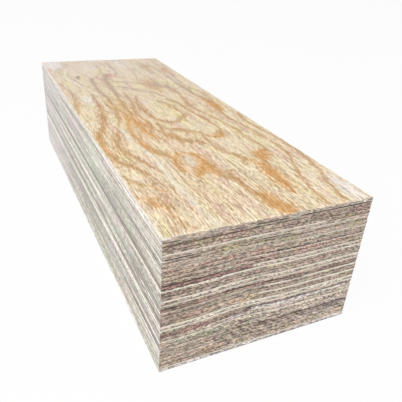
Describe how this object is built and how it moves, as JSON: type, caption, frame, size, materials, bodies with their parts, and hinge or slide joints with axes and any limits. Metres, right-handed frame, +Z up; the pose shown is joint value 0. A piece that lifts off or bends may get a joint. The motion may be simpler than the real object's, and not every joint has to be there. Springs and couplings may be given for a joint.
{
  "type": "laminated veneer lumber beam",
  "caption": "Square-sawn length of laminated veneer lumber: thin wood veneers glued face to face with their grain along the beam, layers open to view on its ends and sides",
  "frame": {"origin": "middle of the bottom face", "axes": "+X along the grain and the length, away from the sawn end that the picture shows; +Y across, towards the long side that it shows; +Z up, through the layers"},
  "size_m": [0.267, 0.095, 0.065],
  "materials": {
    "face_veneer_wood": "knife-cut face veneer, unsanded, flat-grained, dry and matt",
    "sapwood_veneer": "pale sapwood, saw-cut at the edges and ends, dry and matt",
    "heartwood_veneer": "browner heartwood, saw-cut at the edges and ends, dry and matt"
  },
  "bodies": {
    "root": {"face_veneer": "face_veneer_wood", "veneer_02": "heartwood_veneer", "veneer_03": "heartwood_veneer", "veneer_04": "sapwood_veneer", "veneer_05_left_strip": "sapwood_veneer", "veneer_05_right_strip": "sapwood_veneer", "veneer_06": "heartwood_veneer", "veneer_07": "heartwood_veneer", "veneer_08": "sapwood_veneer", "veneer_09": "heartwood_veneer", "veneer_10": "sapwood_veneer", "veneer_11": "heartwood_veneer", "veneer_12_left_strip": "heartwood_veneer", "veneer_12_right_strip": "sapwood_veneer", "veneer_13": "sapwood_veneer", "veneer_14": "heartwood_veneer", "veneer_15": "heartwood_veneer", "veneer_16": "sapwood_veneer", "veneer_17": "heartwood_veneer", "veneer_18": "heartwood_veneer", "veneer_19": "sapwood_veneer", "veneer_20": "heartwood_veneer", "veneer_21": "sapwood_veneer", "veneer_22": "heartwood_veneer", "veneer_23": "sapwood_veneer", "veneer_24": "sapwood_veneer", "veneer_25_left_strip": "heartwood_veneer", "veneer_25_right_strip": "sapwood_veneer", "veneer_26": "sapwood_veneer", "veneer_27": "sapwood_veneer", "veneer_28": "sapwood_veneer", "veneer_29": "heartwood_veneer", "veneer_30": "heartwood_veneer", "veneer_31": "sapwood_veneer", "veneer_32": "heartwood_veneer", "veneer_33": "sapwood_veneer", "veneer_34": "heartwood_veneer", "back_veneer": "sapwood_veneer"}
  },
  "joints": []
}
